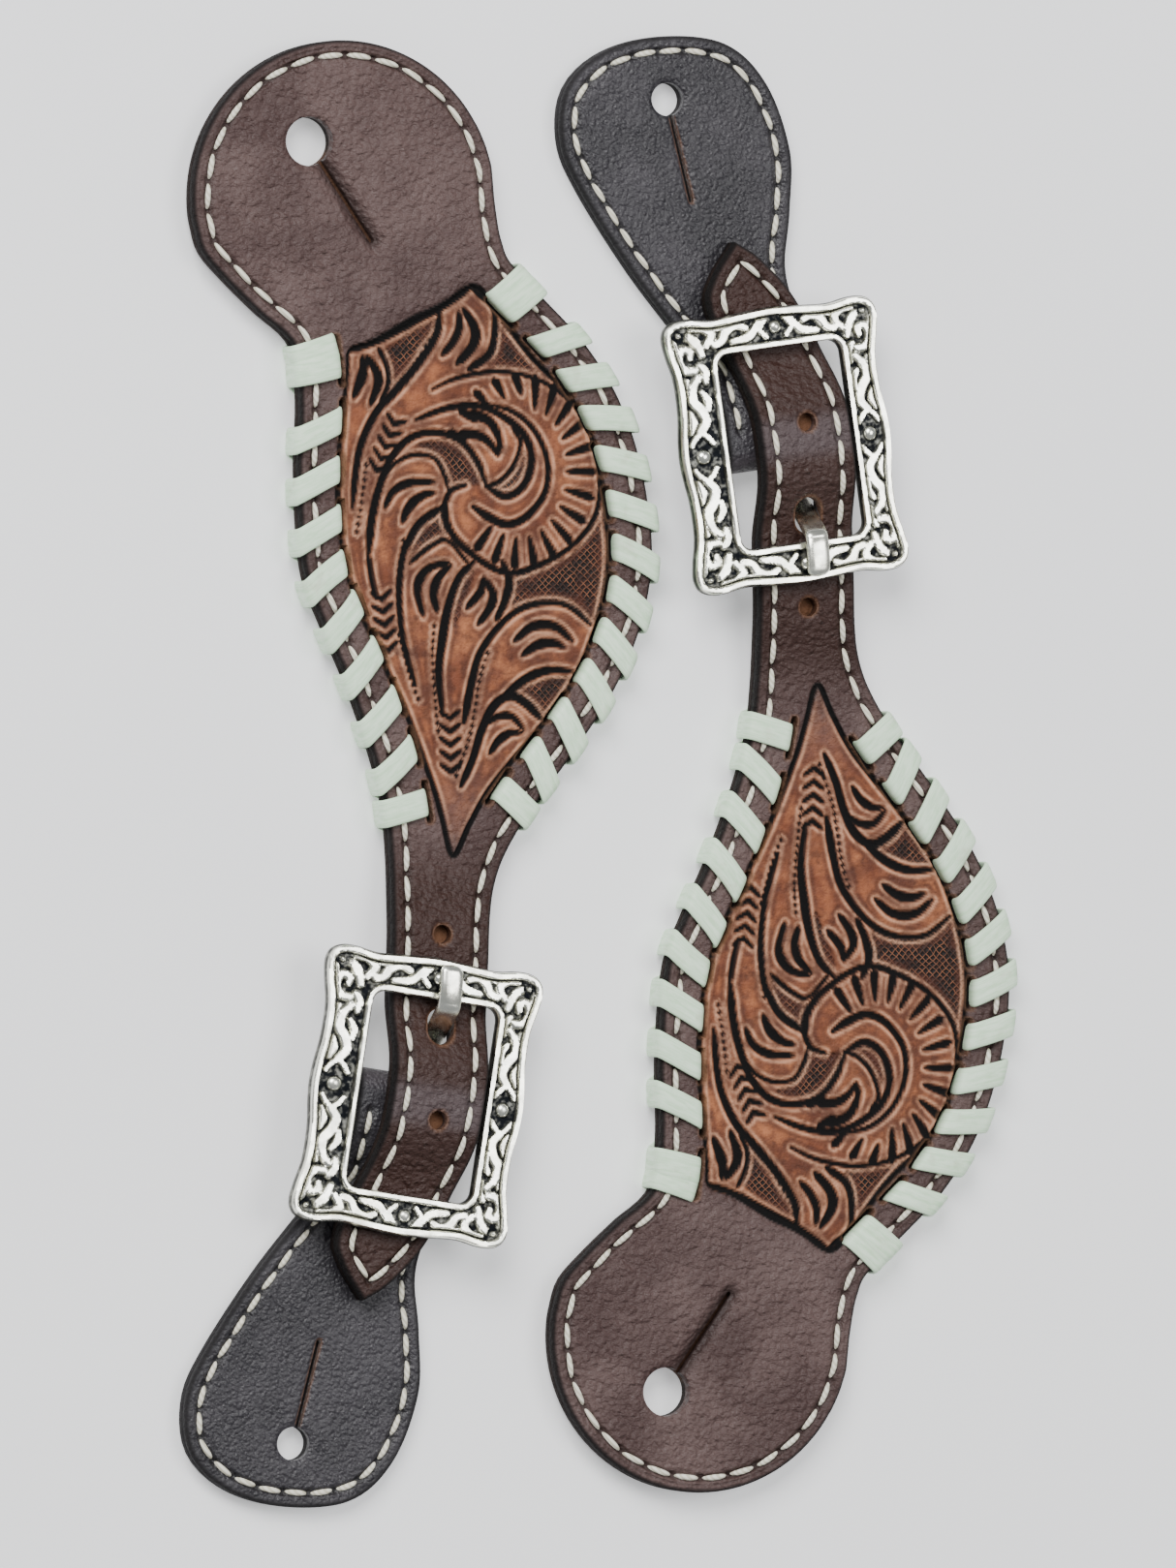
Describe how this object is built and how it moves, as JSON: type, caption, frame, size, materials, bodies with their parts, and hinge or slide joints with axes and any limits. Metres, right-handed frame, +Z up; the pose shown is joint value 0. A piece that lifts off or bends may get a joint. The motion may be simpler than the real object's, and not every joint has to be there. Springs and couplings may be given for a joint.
{
  "type": "pair of spur straps",
  "caption": "Pair of western spur straps, each a laced and tooled leather strap buckled to a short leather tab by an engraved rectangular buckle with a tongue.",
  "frame": {"origin": "middle of the pair's footprint, on the surface that the straps lie on", "axes": "+X to the right across the pair, +Y along the straps towards the left strap's large button tab, +Z up"},
  "size_m": [0.1346, 0.2266, 0.0132],
  "materials": {
    "brown_leather": "oiled, semi-gloss",
    "dark_leather": "oiled, semi-gloss",
    "lining_leather": "matt",
    "thread": "waxed thread",
    "rawhide_lace": "dry rawhide, satin",
    "antique_silver": "antiqued bright plate",
    "steel": "plain drawn wire"
  },
  "bodies": {
    "left_strap": {"left_strap_face": "brown_leather", "left_strap_lining": "lining_leather", "left_strap_thread": "thread", "left_lace_outer": "rawhide_lace", "left_lace_inner": "rawhide_lace", "left_buckle_frame": "antique_silver", "left_buckle_bar": "steel"},
    "left_tongue": {"left_buckle_tongue": "antique_silver"},
    "left_buckle_strap": {"left_buckle_strap_face": "dark_leather", "left_buckle_strap_lining": "dark_leather", "left_buckle_strap_thread": "thread"},
    "right_strap": {"right_strap_face": "brown_leather", "right_strap_lining": "lining_leather", "right_strap_thread": "thread", "right_lace_outer": "rawhide_lace", "right_lace_inner": "rawhide_lace", "right_buckle_frame": "antique_silver", "right_buckle_bar": "steel"},
    "right_tongue": {"right_buckle_tongue": "antique_silver"},
    "right_buckle_strap": {"right_buckle_strap_face": "dark_leather", "right_buckle_strap_lining": "dark_leather", "right_buckle_strap_thread": "thread"}
  },
  "joints": [
    {"name": "left_tongue_hinge", "type": "hinge", "parent": "left_strap", "child": "left_tongue", "pos_m": [-0.03161, -0.05035, 0.0037], "axis": [0.9877, -0.1564, 0], "range_deg": [0, 5]},
    {"name": "left_buckle_strap_hinge", "type": "hinge", "parent": "left_strap", "child": "left_buckle_strap", "pos_m": [-0.03161, -0.05035, 0.0037], "axis": [0.9877, -0.1564, 0], "range_deg": [0, 75]},
    {"name": "right_strap_lift", "type": "slide", "parent": "left_strap", "child": "right_strap", "axis": [0, 0, 1], "range_m": [0, 0.08]},
    {"name": "right_tongue_hinge", "type": "hinge", "parent": "right_strap", "child": "right_tongue", "pos_m": [0.02829, 0.05015, 0.0037], "axis": [-0.9898, -0.1426, 0], "range_deg": [0, 5]},
    {"name": "right_buckle_strap_hinge", "type": "hinge", "parent": "right_strap", "child": "right_buckle_strap", "pos_m": [0.02829, 0.05015, 0.0037], "axis": [-0.9898, -0.1426, 0], "range_deg": [0, 75]}
  ]
}
